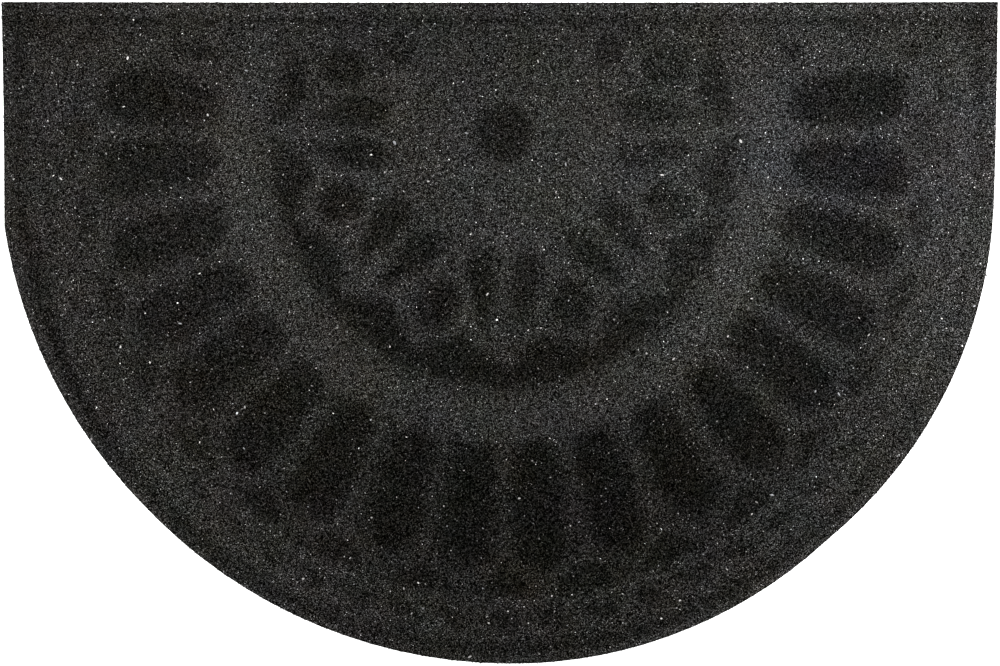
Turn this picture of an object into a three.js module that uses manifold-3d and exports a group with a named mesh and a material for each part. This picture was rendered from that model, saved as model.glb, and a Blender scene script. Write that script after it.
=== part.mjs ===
// A half-round doormat pressed from recycled rubber crumb: one slab that lies flat.
// Its upper face carries a half medallion of shallow hollows with sloping walls.
// Millimetres, +Z up. The origin lies on the floor, in the middle of the mat's own rectangle.
// The straight edge faces +Y and the round edge faces -Y.

import * as THREE from 'three';
import { mergeVertices } from 'three/addons/utils/BufferGeometryUtils.js';
import Module from 'manifold-3d';

const wasm = await Module();
wasm.setup();

// The slab
const MAT_WIDTH = 914.4;
const MAT_DEPTH = 607.2;
const THICKNESS = 7;
const EDGE_BEVEL = 0.7;

// The outline as it was trimmed by hand. The round edge is four arcs, each of its own
// radius, that meet end to end. The sides lean in a little and the straight edge sags.
const ROUND_EDGE_ENDS = [
  { x: -454.4, y: 97.7 },
  { x: -330, y: -154.6 },
  { x: 7.7, y: -303.6 },
  { x: 300, y: -190.4 },
  { x: 453.1, y: 111.7 },
];
const ROUND_EDGE_RADII = [465.5, 463, 424.5, 417];
const LEFT_SIDE_BEND = { x: -454.7, y: 215 };
const RIGHT_SIDE_BEND = { x: 455.2, y: 150 };
const STRAIGHT_EDGE_SAG = 0.6;
const ARC_STEPS = 15;
const SIDE_STEPS = 4;
const STRAIGHT_EDGE_STEPS = 6;

// The medallion
const ROSE_CENTRE = { x: 3.8, y: 183.6 };
const PETAL_PITCH = 11.2;
const AXIS_PITCH = 45;

// The hollows. A run of like hollows lies on a ring round the medallion's centre. Its
// angles are in degrees from straight down, positive towards +X. drop is the share by
// which the ring grows at the bottom of the mat and shrinks at the top. length lies along
// the ring's radius and stretch is its growth at the bottom. flare widens the outer end,
// square is 2 for an ellipse and more for a squarer block, and lean turns each hollow.
const PETAL = { ring: 319.5, drop: 0.073, length: 104, stretch: 0.09, width: 46, flare: 0.12, square: 3.6,
  lean: 0, points: 16, depth: 1.1, slope: 4 };
const SLIVER = { ring: 137, drop: 0.02, length: 60, stretch: 0, width: 23, flare: -0.3, square: 2.6,
  lean: 6, points: 12, depth: 0.8, slope: 3 };
const OVAL = { ring: 163, drop: 0.035, length: 44, stretch: 0, width: 36, flare: 0, square: 2.3,
  lean: 0, points: 12, depth: 0.9, slope: 4 };
const SPANDREL = { ring: 384, drop: 0.072, length: 30, stretch: 0, width: 34, flare: 0.7, square: 2.2,
  lean: 0, points: 10, depth: 0.6, slope: 2 };
const ROPE_BEAD = { ring: 409, drop: 0.087, length: 28, stretch: 0, width: 17, flare: 0, square: 2,
  lean: 42, points: 10, depth: 0.5, slope: 3 };
const CENTRE_DOT = { ring: 0, drop: 0, length: 54, stretch: 0, width: 54, flare: 0, square: 2,
  lean: 0, points: 24, depth: 1, slope: 4 };

const PETAL_CROWDING = 0.03;
const SLIVER_OFF_AXIS = 9.2;
const ROPE_BEAD_PITCH = 5.88;

// What is left of the pattern where the straight edge crops it
const CROPPED = [
  { ring: 290, angle: -104.8, length: 44, width: 13 },
  { ring: 126, angle: -128, length: 26, width: 24 },
  { ring: 126, angle: 128, length: 26, width: 24 },
  { ring: 273, angle: 105.8, length: 17, width: 15 },
  { ring: 381, angle: 101.4, length: 17, width: 15 },
];
const CROPPED_FORM = { drop: 0, stretch: 0, flare: 0, square: 2.4, lean: 0, points: 10, depth: 0.6,
  slope: 2 };

// The scalloped band round the inner flower, in three stretches
const BAND = { outer: 213.5, outerDrop: 0.09, tips: 203, arches: 182, innerDrop: 0.07, depth: 1,
  slope: 3 };
const BAND_STRETCHES = [
  { from: -112, to: -93 },
  { from: -88, to: 88 },
  { from: 93, to: 112 },
];
const SCALLOP_PITCH = 22.5;
const BAND_STEP = 3.75;
const SCALLOP_POINTEDNESS = 2.2;

// The groove that runs round the rim
const RIM_GROOVE = { outerInset: 8, innerInset: 20, depth: 0.5, slope: 3 };

const radians = THREE.MathUtils.degToRad;

// The arc of a given radius from one point to another, its centre left of the way there
function arcBetween(start, end, radius) {
  const chord = end.clone().sub(start);
  const rise = Math.sqrt(radius ** 2 - chord.lengthSq() / 4);
  const centre = start.clone().add(end).multiplyScalar(0.5)
    .add(new THREE.Vector2(-chord.y, chord.x).setLength(rise));
  return {
    centre,
    radius,
    from: start.clone().sub(centre).angle(),
    to: end.clone().sub(centre).angle(),
  };
}

const roundEdgeArcs = ROUND_EDGE_RADII.map((radius, i) => arcBetween(
  new THREE.Vector2(ROUND_EDGE_ENDS[i].x, ROUND_EDGE_ENDS[i].y),
  new THREE.Vector2(ROUND_EDGE_ENDS[i + 1].x, ROUND_EDGE_ENDS[i + 1].y),
  radius,
));

// Points of an arc moved in by inset
function arcPoints(arc, inset) {
  const points = [];
  for (let i = 0; i <= ARC_STEPS; i++) {
    const angle = THREE.MathUtils.lerp(arc.from, arc.to, i / ARC_STEPS);
    const outward = new THREE.Vector2(Math.cos(angle), Math.sin(angle));
    points.push(arc.centre.clone().addScaledVector(outward, arc.radius - inset));
  }
  return points;
}

// The round edge from left to right, moved in by inset
function roundEdge(inset) {
  const points = roundEdgeArcs.map((arc) => arcPoints(arc, inset));
  return [points[0][0], ...points.flatMap((arc) => arc.slice(1))];
}

// Points of a bent line, without its two ends
function bentLine(start, bend, end, steps) {
  const curve = new THREE.QuadraticBezierCurve(start, bend, end);
  return curve.getPoints(steps).slice(1, -1);
}

// The mat's outline, counterclockwise, moved in by inset
function outline(inset) {
  const leftX = -MAT_WIDTH / 2 + inset;
  const rightX = MAT_WIDTH / 2 - inset;
  const topY = MAT_DEPTH / 2 - inset;
  const leftTop = new THREE.Vector2(leftX, topY);
  const rightTop = new THREE.Vector2(rightX, topY);

  const round = roundEdge(inset);

  const leftBend = new THREE.Vector2(LEFT_SIDE_BEND.x + inset, LEFT_SIDE_BEND.y);
  const rightBend = new THREE.Vector2(RIGHT_SIDE_BEND.x - inset, RIGHT_SIDE_BEND.y);
  const topBend = new THREE.Vector2(0, topY - 2 * STRAIGHT_EDGE_SAG);
  return [
    leftTop,
    ...bentLine(leftTop, leftBend, round[0], SIDE_STEPS),
    ...round,
    ...bentLine(round.at(-1), rightBend, rightTop, SIDE_STEPS),
    rightTop,
    ...bentLine(rightTop, topBend, leftTop, STRAIGHT_EDGE_STEPS),
  ];
}

// A point of the medallion, on a ring that drops towards the round edge
function onRing(ring, drop, angle) {
  const turn = radians(angle);
  const reach = ring * (1 + drop * Math.cos(turn));
  return new THREE.Vector2(
    ROSE_CENTRE.x + reach * Math.sin(turn),
    ROSE_CENTRE.y - reach * Math.cos(turn),
  );
}

// A rounded block laid along the medallion's radius
function blob(form, centre, angle, lean) {
  const outward = radians(angle + lean);
  const along = new THREE.Vector2(Math.sin(outward), -Math.cos(outward));
  const across = new THREE.Vector2(Math.cos(outward), Math.sin(outward));
  const halfLength = form.length * (1 + form.stretch * Math.cos(radians(angle))) / 2;
  const points = [];
  for (let i = 0; i < form.points; i++) {
    const turn = 2 * Math.PI * (i + 0.5) / form.points;
    const out = Math.sign(Math.cos(turn)) * Math.abs(Math.cos(turn)) ** (2 / form.square);
    const side = Math.sign(Math.sin(turn)) * Math.abs(Math.sin(turn)) ** (2 / form.square);
    const halfWidth = form.width / 2 * (1 + form.flare * out);
    points.push(centre.clone()
      .addScaledVector(along, out * halfLength)
      .addScaledVector(across, side * halfWidth));
  }
  return points;
}

// One stretch of the scalloped band: a plain outer edge and arches inside
function bandPoints(from, to) {
  const steps = Math.round((to - from) / BAND_STEP);
  const outer = [];
  const inner = [];
  for (let i = 0; i <= steps; i++) {
    const angle = THREE.MathUtils.lerp(from, to, i / steps);
    const part = Math.abs(angle / SCALLOP_PITCH) % 1;
    const towardsTip = Math.abs(part - 0.5) * 2;
    const ring = THREE.MathUtils.lerp(BAND.arches, BAND.tips, towardsTip ** SCALLOP_POINTEDNESS);
    outer.push(onRing(BAND.outer, BAND.outerDrop, angle));
    inner.push(onRing(ring, BAND.innerDrop, angle));
  }
  return [...outer, ...inner.reverse()];
}

// A closed mesh as a solid that can be joined and cut
function solidOf(geometry) {
  geometry.deleteAttribute('normal');
  geometry.deleteAttribute('uv');
  const merged = mergeVertices(geometry);
  return new wasm.Manifold(new wasm.Mesh({
    numProp: 3,
    vertProperties: new Float32Array(merged.attributes.position.array),
    triVerts: new Uint32Array(merged.index.array),
  }));
}

function geometryOf(solid) {
  const mesh = solid.getMesh();
  const geometry = new THREE.BufferGeometry();
  geometry.setAttribute('position', new THREE.BufferAttribute(mesh.vertProperties, 3));
  geometry.setIndex(new THREE.BufferAttribute(mesh.triVerts, 1));
  geometry.computeVertexNormals();
  return geometry;
}

// What a hollow takes out of the upper face: its mouth is the shape itself, its walls
// slope in and its floor is flat. It stands well above the face that it cuts.
function cutterOf(shape, depth, slope) {
  const geometry = new THREE.ExtrudeGeometry(shape, {
    depth: THICKNESS,
    steps: 1,
    bevelEnabled: true,
    bevelThickness: depth,
    bevelSize: slope,
    bevelOffset: -slope,
    bevelSegments: 1,
  });
  geometry.translate(0, 0, THICKNESS);
  return solidOf(geometry);
}

function slab() {
  const geometry = new THREE.ExtrudeGeometry(new THREE.Shape(outline(0)), {
    depth: THICKNESS - 2 * EDGE_BEVEL,
    steps: 1,
    bevelEnabled: true,
    bevelThickness: EDGE_BEVEL,
    bevelSize: EDGE_BEVEL,
    bevelOffset: -EDGE_BEVEL,
    bevelSegments: 1,
  });
  geometry.translate(0, 0, EDGE_BEVEL);
  return solidOf(geometry);
}

function ringHollow(form, angle, lean = 0) {
  const points = blob(form, onRing(form.ring, form.drop, angle), angle, lean);
  return cutterOf(new THREE.Shape(points), form.depth, form.slope);
}

function centreDot() {
  return [ringHollow(CENTRE_DOT, 0)];
}

// Pairs of slivers either side of each axis, which close in outwards
function slivers() {
  const cutters = [];
  for (let axis = -2; axis <= 2; axis++) {
    for (const side of [-1, 1]) {
      const angle = axis * AXIS_PITCH + side * SLIVER_OFF_AXIS;
      cutters.push(ringHollow(SLIVER, angle, -side * SLIVER.lean));
    }
  }
  return cutters;
}

function ovals() {
  const cutters = [];
  for (let k = -3; k < 3; k++) {
    cutters.push(ringHollow(OVAL, (k + 0.5) * AXIS_PITCH));
  }
  return cutters;
}

// The petals crowd a little towards the bottom of the ring
function petals() {
  const cutters = [];
  for (let k = -9; k < 9; k++) {
    const evenly = (k + 0.5) * PETAL_PITCH;
    const crowding = PETAL_CROWDING * Math.cos(radians(evenly)) ** 2;
    cutters.push(ringHollow(PETAL, evenly * (1 - crowding)));
  }
  return cutters;
}

function spandrels() {
  const cutters = [];
  for (let k = -8; k <= 8; k++) {
    cutters.push(ringHollow(SPANDREL, k * PETAL_PITCH));
  }
  return cutters;
}

// Short leaning beads in a row inside the round edge
function ropeBeads() {
  const cutters = [];
  for (let k = -12; k <= 12; k++) {
    cutters.push(ringHollow(ROPE_BEAD, k * ROPE_BEAD_PITCH, ROPE_BEAD.lean));
  }
  return cutters;
}

function cropped() {
  return CROPPED.map((row) => ringHollow({ ...CROPPED_FORM, ...row }, row.angle));
}

function scallopedBand() {
  return BAND_STRETCHES.map((stretch) => {
    const shape = new THREE.Shape(bandPoints(stretch.from, stretch.to));
    return cutterOf(shape, BAND.depth, BAND.slope);
  });
}

function rimGroove() {
  const shape = new THREE.Shape(outline(RIM_GROOVE.outerInset));
  shape.holes.push(new THREE.Path(outline(RIM_GROOVE.innerInset).reverse()));
  return [cutterOf(shape, RIM_GROOVE.depth, RIM_GROOVE.slope)];
}

function matGeometry() {
  const hollows = wasm.Manifold.union([
    ...centreDot(),
    ...slivers(),
    ...ovals(),
    ...scallopedBand(),
    ...petals(),
    ...spandrels(),
    ...ropeBeads(),
    ...cropped(),
    ...rimGroove(),
  ]);
  return geometryOf(slab().subtract(hollows));
}

const crumbRubber = new THREE.MeshStandardMaterial({ color: 0x2c2c2a, roughness: 0.95, metalness: 0 });

const mat = new THREE.Mesh(matGeometry(), crumbRubber);
mat.name = 'mat';

const doormat = new THREE.Group();
doormat.add(mat);

export default doormat;
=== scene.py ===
"""A half-round doormat pressed from recycled rubber crumb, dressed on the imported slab.

The mat lies flat. Its straight edge faces +Y, its round edge faces -Y, and its patterned
face looks up. Pattern sizes are in millimetres and angles in degrees. Meshes are in metres.
"""

import math
from typing import NamedTuple

import bmesh
import bpy
import numpy as np
from bpy.props import (
    FloatProperty,
    FloatVectorProperty,
    IntProperty,
    PointerProperty,
)
from bpy.types import Operator, Panel, PropertyGroup
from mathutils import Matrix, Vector


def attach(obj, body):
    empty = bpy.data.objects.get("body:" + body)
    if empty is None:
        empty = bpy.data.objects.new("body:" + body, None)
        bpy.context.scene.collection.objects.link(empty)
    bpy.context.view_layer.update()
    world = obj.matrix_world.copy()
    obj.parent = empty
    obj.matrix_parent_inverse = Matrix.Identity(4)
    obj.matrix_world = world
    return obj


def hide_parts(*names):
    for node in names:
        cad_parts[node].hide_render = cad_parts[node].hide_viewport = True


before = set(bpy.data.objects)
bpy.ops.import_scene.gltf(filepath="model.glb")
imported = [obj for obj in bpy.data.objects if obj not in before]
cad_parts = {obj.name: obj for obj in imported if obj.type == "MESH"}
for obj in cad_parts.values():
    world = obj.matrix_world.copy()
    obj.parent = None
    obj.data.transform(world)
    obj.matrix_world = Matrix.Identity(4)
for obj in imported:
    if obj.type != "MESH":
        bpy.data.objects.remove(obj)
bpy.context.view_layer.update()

bl_info = {
    "name": "Half-round crumb rubber doormat",
    "version": (1, 0, 0),
    "blender": (4, 5, 0),
    "location": "View3D > Sidebar > Doormat",
    "description": "Builds a doormat of pressed rubber crumb on its packed slab",
    "category": "Object",
}

MM = 0.001

# The slab
MAT_WIDTH = 914.4
MAT_DEPTH = 607.2
THICKNESS = 7.0
EDGE_BEVEL = 0.7
WALL_ROWS = (4.7, 3.2, 1.7, 0.7, 0.0)

# The bed is the slab's mesh under the crumb. It is darker than the crumb that lies on it: painted shade in
# the pits between the chips.
# CUT_TOLERANCE is in metres.
BED_BELOW_CRUMB = 0.4
BED_PIT_SHADE = -0.7
BED_UNEVENNESS = 0.08
WALL_UNEVENNESS = 0.15
LEVEL_MARGIN = 0.1
CUT_TOLERANCE = 1e-7
MERGE_DISTANCE = 0.9

# The outline as it was trimmed by hand: four arcs that meet end to end, two sides that
# lean in a little, and a straight edge that sags
ROUND_EDGE_ENDS = ((-454.4, 97.7), (-330.0, -154.6), (7.7, -303.6), (300.0, -190.4), (453.1, 111.7))
ROUND_EDGE_RADII = (465.5, 463.0, 424.5, 417.0)
LEFT_SIDE_BEND = (-454.7, 215.0)
RIGHT_SIDE_BEND = (455.2, 150.0)
STRAIGHT_EDGE_SAG = 0.6
ARC_STEPS = 15
SIDE_STEPS = 4
STRAIGHT_EDGE_STEPS = 6

# The medallion
ROSE_CENTRE = (3.8, 183.6)
PETAL_PITCH = 11.24
PETAL_CROWDING = 0.02
PETAL_SWAY = 0.43
PETAL_SWAYS = 6
AXIS_PITCH = 45.0
FLOWER_CROWDING = 0.052
SLIVER_OFF_AXIS = 7.7
SLIVER_LEAN = 14.0
ROPE_BEAD_PITCH = 5.86
ROPE_BEAD_LEAN = 63.0

# Which places of each run are taken, counted from straight down
PETAL_STEPS = range(-9, 9)
GAP_STEPS = range(-8, 9)
AXIS_STEPS = range(-2, 3)
OVAL_STEPS = range(-3, 3)
ROPE_BEAD_STEPS = range(-12, 13)

# The flattest slope of a hollow's border, and what keeps the distances in it above 0
LEAST_SLOPE = 0.67
LEAST_DISTANCE = 1e-6


class Ring(NamedTuple):
    """A ring round the medallion's centre, a little out of round.

    It reaches further by the share drop at the bottom of the mat, and by the share lobe there
    and a third of a turn to either side.
    """

    radius: float
    drop: float = 0.0
    lobe: float = 0.0


class Hollow(NamedTuple):
    """A soft hollow whose middle lies on a ring.

    The length lies along the ring's radius and grows by the share stretch at the bottom of
    the mat. flare widens the outer end, and below 0 it narrows it. square is 2 for an ellipse,
    more for a block and less for pointed ends. softness is how wide the sloping border is.
    """

    ring: Ring
    length: float
    width: float
    softness: float
    stretch: float = 0.0
    flare: float = 0.0
    square: float = 2.0


PETAL = Hollow(Ring(318.2, 0.068, 0.0105), 105, 48, 21, stretch=0.079, flare=0.13, square=3.1)
SLIVER = Hollow(Ring(140.0, 0.024), 68, 25, 15.5, flare=-0.6, square=1.8)
OVAL = Hollow(Ring(160.4, 0.052, 0.009), 45, 36.7, 16, flare=0.06, square=1.9)
SPANDREL = Hollow(Ring(384.4, 0.063, 0.012), 25, 39, 14, flare=0.72, square=2.0)
ROPE_BEAD = Hollow(Ring(408.2, 0.087, 0.017), 33, 15.2, 8)
CENTRE_DOT = Hollow(Ring(0), 53, 53, 16)

# What is left of the pattern where the straight edge crops it: ring, angle, length, width
CROPPED = (
    (290, -104.8, 44, 13),
    (122, -128, 30, 27),
    (122, 128, 30, 27),
    (273, 105.8, 17, 15),
    (381, 101.4, 17, 15),
)
CROPPED_SOFTNESS = 12
CROPPED_SQUARE = 2.4

# The scalloped band round the inner flower. BAND_INNER_GROWTH has radius 1, because the
# reach of the tips and arches is multiplied by it.
BAND_OUTER = Ring(212.4, 0.086, 0.011)
BAND_INNER_GROWTH = Ring(1.0, 0.045, 0.011)
BAND_TIPS = 206.0
BAND_ARCHES = 181.0
BAND_STRETCHES = ((-112, -93), (-88, 88), (93, 112))
SCALLOP_PITCH = 22.5
SCALLOP_POINTEDNESS = 1.25
BAND_SOFTNESS = 16.5

# The plain, brighter ring between the band and the petals
PLAIN_RING_INNER = Ring(220.1, 0.072, 0.011)
PLAIN_RING_OUTER = Ring(263.9, 0.103, 0.0085)
PLAIN_RING_SOFTNESS = 13.5

# Narrow rings, each with its width
RIM_TROUGH = (Ring(439.1, 0.083, 0.002), 6.8)
RIM_RIDGE = (Ring(426.1, 0.067, 0.005), 11.0)
ROPE_RIDGE = (Ring(394.5, 0.091, -0.008), 9.0)
PETAL_GROOVE = (Ring(389.2, 0.086, 0.002), 6.1)

# The rim trough fades out up to this height, and the petal groove out to this angle
RIM_TROUGH_END = 110
RIM_TROUGH_FADE = 20
PETAL_GROOVE_END = 45
PETAL_GROOVE_FADE = 25

# Straight troughs: how far they lie from the mat's middle, and their widths. The side
# troughs fade out down to SIDE_TROUGH_END.
SIDE_TROUGH = (442.2, 8.0)
SIDE_TROUGH_END = 60
SIDE_TROUGH_FADE = 60
TOP_TROUGH = (285.5, 3.4)

TRIMMED_EDGE_WIDTH = 15.0
TRIMMED_EDGE_SOFTNESS = 8.3

# The cut edge is palest to the right of the round end. That stretch lies round
# WORN_EDGE_ANGLE, reaches WORN_EDGE_HALF_ANGLE to either side, and fades at both ends.
WORN_EDGE_WIDTH = 9.0
WORN_EDGE_SOFTNESS = 5.0
WORN_EDGE_ANGLE = 30
WORN_EDGE_HALF_ANGLE = 23
WORN_EDGE_FADE = 10

# How deep each form is pressed into the face
DEPTHS = {
    "petals": 1.1,
    "slivers": 0.8,
    "ovals": 0.9,
    "spandrels": 0.6,
    "rope_beads": 0.5,
    "centre_dot": 1.0,
    "band": 1.0,
    "cropped": 0.6,
    "rim_trough": 0.5,
    "side_trough": 0.5,
    "top_trough": 0.4,
}

# How bright the crumb of each form is beside plain crumb, as a natural logarithm: in the
# middle of the mat, what it gains to the right, and what it gains towards the straight edge
# The dark forms lie in the pressed hollows. Their darkening is partly the looser crumb's own colour and
# partly painted shade in the hollows.
TONES = {
    "petals": (-0.758, -0.121, -0.098),
    "slivers": (-0.805, 0.424, 0.19),
    "ovals": (-0.807, 0.17, 0.283),
    "spandrels": (-0.397, -0.011, 0.107),
    "rope_beads": (-0.035, -0.06, 0.414),
    "centre_dot": (-0.746, 0, 0),
    "band": (-0.784, 0.096, 0.192),
    "cropped": (-0.557, 0, 0),
    "rim_trough": (-0.159, 0.322, 0.154),
    "side_trough": (-0.266, 0, 0),
    "top_trough": (-0.271, 0, 0),
    "rope_ridge": (0.162, 0.115, -0.204),
    "plain_ring": (0.18, -0.044, -0.119),
    "petal_groove": (-0.286, 0, 0),
    "trimmed_edge": (0.293, 0.055, -0.004),
    "worn_edge": (0.32, 0, 0),
    "rim_ridge": (0.212, 0.135, -0.106),
}

# Brightness over the whole face, as powers of x and y that run from -1 to 1 across the mat.
# It holds the uneven wear of the crumb and the photo's uneven light together.
PAINTED_LIGHT_AND_WEAR_FIELD = {
    (0, 0): -0.065,
    (1, 0): 0.199,
    (0, 1): 0.703,
    (2, 0): 0.487,
    (1, 1): 0.311,
    (0, 2): -0.252,
    (3, 0): -0.086,
    (2, 1): -0.079,
    (1, 2): -0.329,
    (0, 3): -0.566,
    (4, 0): -0.703,
    (2, 2): 0.191,
    (0, 4): -0.07,
}

# The crumb. Each pair for rng.normal is a middle and a spread.
CRUMB_TOP = THICKNESS + 0.8
CHIP_SHAPES = 40
CHIP_WIDENING = (0.75, 1.25)
CHIP_SKEW = (0, 0.12)
SCATTER = 0.22
EDGE_CLEARANCE = 0.8
EDGE_ROUNDING = 1.6
FACE_CHIP_HEIGHT = (-0.1, 0.11)
FACE_CHIP_TILT = (0, 0.17)
FACE_CHIP_SIZE = (0, 0.22)
TUMBLED_SHARE = 0.18
TUMBLED_SHIFT = 0.3
TUMBLED_SINK = 0.15
LOWEST_CHIP = 0.02

WALL_CHIP_ROWS = (1.2, 2.7, 4.2, 5.7)
WALL_PITCH_SHARE = 0.85
WALL_CHIP_SHARE = 0.8
WALL_SCATTER = (-0.4, 0.4)
WALL_CHIP_DEPTH = (-0.05, 0.15)
WALL_CHIP_HEIGHT = (0, 0.3)
WALL_CHIP_TIP = (0, 0.25)
WALL_CHIP_TILT = (0, 0.12)
WALL_CHIP_SIZE = (0, 0.2)
# The wall's chips are darker than those on the face: painted shade on the mat's side.
WALL_SIDE_SHADE = -0.35

# The flecks, with the smallest and largest radius and brightness
FLECK_SHAPES = 12
FLECK_PITCH = 6
FLECK_RISE = 0.05
FLECK_TILT = (0, 0.15)
FLECK_RADIUS = 0.46
FLECK_RADIUS_SPREAD = (0, 0.33)
FLECK_RADIUS_LIMITS = (0.3, 1.3)
FLECK_BRIGHTNESS_SPREAD = (-0.1, 0.55)
FLECK_BRIGHTNESS_LIMITS = (0.02, 0.7)
FLECK_TONE_SHARE = 0.3
CREAM_SHARE = 0.7
FLECK_KNOBS = (0.75, 1.2)
FLECK_LENGTHENING = (1.0, 2.4)
FLECK_FLATTENING = 0.6

# The crumb's material. Scales are in cells a metre, so grains are about half a millimetre. Each grain's
# brightness is partly its own tone and partly painted sheen, and the rare bright specks are painted
# glints.
GRAIN_SCALE = 1900
GRAIN_POWER = 6
GRAIN_GAIN = 6.72
GRAIN_BASE = 0.04
PAINTED_GLINT_SCALE = 1250
PAINTED_GLINT_POWER = 100
PAINTED_GLINT_GAIN = 9
PAINTED_GLINT_BASE = 0.91
GRAIN_DARKENING = 0.12
DARKEST_GRAIN = 0.002
GRAIN_ROUGHNESS = (0.7, 0.95)
GRAIN_BUMP = 0.6
GRAIN_BUMP_HEIGHT = 0.3

# Its tint drifts in soft patches. Red and blue are shares of the rubber's own.
DRIFT_SCALE = 16
DRIFT_DETAIL = 6
DRIFT_ROUGHNESS = 0.7
RED_DRIFT = 0.50
BLUE_DRIFT = 0.70
RED_BASE = 0.79
BLUE_BASE = 0.636
BRIGHT_GRAIN_BLUE = 1.06
TINT_POWER = 0.6

# Soft spots of another tint: centre and reach in metres, and the change
LESS_RED_SPOT = ((0.12, 0.08), (0.6, 0.6))
LESS_RED_CHANGE = -0.072
BLUE_SPOT = ((0.32, 0.16), (0.18, 0.12))
BLUE_CHANGE = 0.13

# The flecks' material
MOTTLE_SCALE = 1400
MOTTLE_GAIN = 0.8
MOTTLE_BASE = 0.6
FLECK_BUMP = 0.4
FLECK_BUMP_HEIGHT = 0.2
FLECK_ROUGHNESS = 0.85
FLECK_SPECULAR = 0.2

# The studio, in metres and watts, with the camera's sensor in millimetres. Each light has a
# name, place, size and power.
FLOOR_HALF_SIZE = 6
FLOOR_DROP = 0.0002
FLOOR_ROUGHNESS = 0.9
FLOOR_SPECULAR = 0.1
FLOOR_GLOW = 0.5
WORLD_STRENGTH = 0.55
SOFT_LIGHTS = (
    ("key_light", (2.3, 1.2, 2.4), (2.0, 2.0), 260),
    ("fill_light", (-2.4, -0.4, 2.2), (2.2, 2.2), 150),
)
SENSOR_WIDTH = 36
FARTHEST_SEEN = 50
CAMERA_PLACE = (0.0003, -0.0002)


class CrumbSizes(PropertyGroup):
    """Sizes of the slab's mesh and of the crumb on it."""

    bed_cell: FloatProperty(
        name="Bed cell",
        description="Size of a mesh cell of the slab under the crumb",
        default=0.004,
        unit="LENGTH",
    )
    pitch: FloatProperty(
        name="Crumb pitch",
        description="Distance between neighbouring chips of crumb",
        default=0.00165,
        unit="LENGTH",
    )
    chip: FloatProperty(
        name="Chip radius",
        description="Middle radius of a chip of crumb",
        default=0.00125,
        unit="LENGTH",
    )
    strips: IntProperty(
        name="Strips",
        description="Number of strips that the crumb is built in, from the round edge to the straight one",
        default=5,
        min=1,
    )
    flecks: IntProperty(
        name="Flecks",
        description="Number of light flecks among the crumb",
        default=1000,
        min=0,
    )
    seed: IntProperty(
        name="Seed",
        description="Start of the random scatter of crumb and flecks",
        default=7,
    )


class CrumbFinish(PropertyGroup):
    """Colours of the rubber and of its flecks."""

    rubber: FloatVectorProperty(
        name="Rubber",
        description="Colour of plain crumb in the middle of the mat",
        subtype="COLOR",
        size=3,
        default=(0.0231, 0.0225, 0.0206),
    )
    cream: FloatVectorProperty(
        name="Cream fleck",
        description="Colour of the commonest flecks",
        subtype="COLOR",
        size=3,
        default=(0.206, 0.197, 0.194),
    )
    blue_grey: FloatVectorProperty(
        name="Blue-grey fleck",
        description="Colour of the bluish flecks",
        subtype="COLOR",
        size=3,
        default=(0.165, 0.165, 0.172),
    )
    spread: FloatProperty(
        name="Tone spread",
        description="How much neighbouring chips differ in brightness",
        default=0.12,
        min=0.0,
    )


class StudioSettings(PropertyGroup):
    """The floor, lights and camera."""

    floor: FloatVectorProperty(
        name="Floor",
        description="Colour of the plain floor",
        subtype="COLOR",
        size=3,
        default=(0.9, 0.9, 0.9),
    )
    camera_height: FloatProperty(
        name="Camera height",
        description="Height of the camera above the floor",
        default=2.5,
        unit="LENGTH",
    )
    view_width: FloatProperty(
        name="View width",
        description="Width of the patterned face's plane that the camera sees",
        default=0.91724,
        unit="LENGTH",
    )


def arc_points(start, end, radius):
    """Points of an arc, its centre left of the way from start to end."""
    start = Vector(start)
    end = Vector(end)
    chord = end - start
    rise = math.sqrt(radius ** 2 - chord.length_squared / 4)
    centre = (start + end) / 2 + Vector((-chord.y, chord.x)).normalized() * rise
    first = math.atan2(start.y - centre.y, start.x - centre.x)
    last = math.atan2(end.y - centre.y, end.x - centre.x)
    if last < first:
        last += 2 * math.pi
    angles = np.linspace(first, last, ARC_STEPS + 1)
    return [(centre.x + radius * math.cos(a), centre.y + radius * math.sin(a)) for a in angles]


def bent_line(start, bend, end, steps):
    """Points of a bent line, both ends included."""
    points = []
    for t in np.linspace(0, 1, steps + 1):
        a = (1 - t) ** 2
        b = 2 * t * (1 - t)
        c = t ** 2
        points.append((a * start[0] + b * bend[0] + c * end[0], a * start[1] + b * bend[1] + c * end[1]))
    return points


def round_edge():
    """The round edge from left to right."""
    points = []
    for start, end, radius in zip(ROUND_EDGE_ENDS, ROUND_EDGE_ENDS[1:], ROUND_EDGE_RADII):
        points += arc_points(start, end, radius)[:-1]
    return points + [ROUND_EDGE_ENDS[-1]]


LEFT_TOP = (-MAT_WIDTH / 2, MAT_DEPTH / 2)
RIGHT_TOP = (MAT_WIDTH / 2, MAT_DEPTH / 2)
STRAIGHT_EDGE_BEND = (0, MAT_DEPTH / 2 - 2 * STRAIGHT_EDGE_SAG)
ROUND_EDGE = round_edge()
RIGHT_SIDE = bent_line(ROUND_EDGE[-1], RIGHT_SIDE_BEND, RIGHT_TOP, SIDE_STEPS)
LEFT_SIDE = bent_line(LEFT_TOP, LEFT_SIDE_BEND, ROUND_EDGE[0], SIDE_STEPS)
STRAIGHT_EDGE = bent_line(RIGHT_TOP, STRAIGHT_EDGE_BEND, LEFT_TOP, STRAIGHT_EDGE_STEPS)
OUTLINE = np.array(LEFT_SIDE[:-1] + ROUND_EDGE[:-1] + RIGHT_SIDE[:-1] + STRAIGHT_EDGE[:-1])


def outline_sides():
    """Each side of the outline as its two ends, counterclockwise."""
    return zip(OUTLINE, np.roll(OUTLINE, -1, axis=0))


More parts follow.
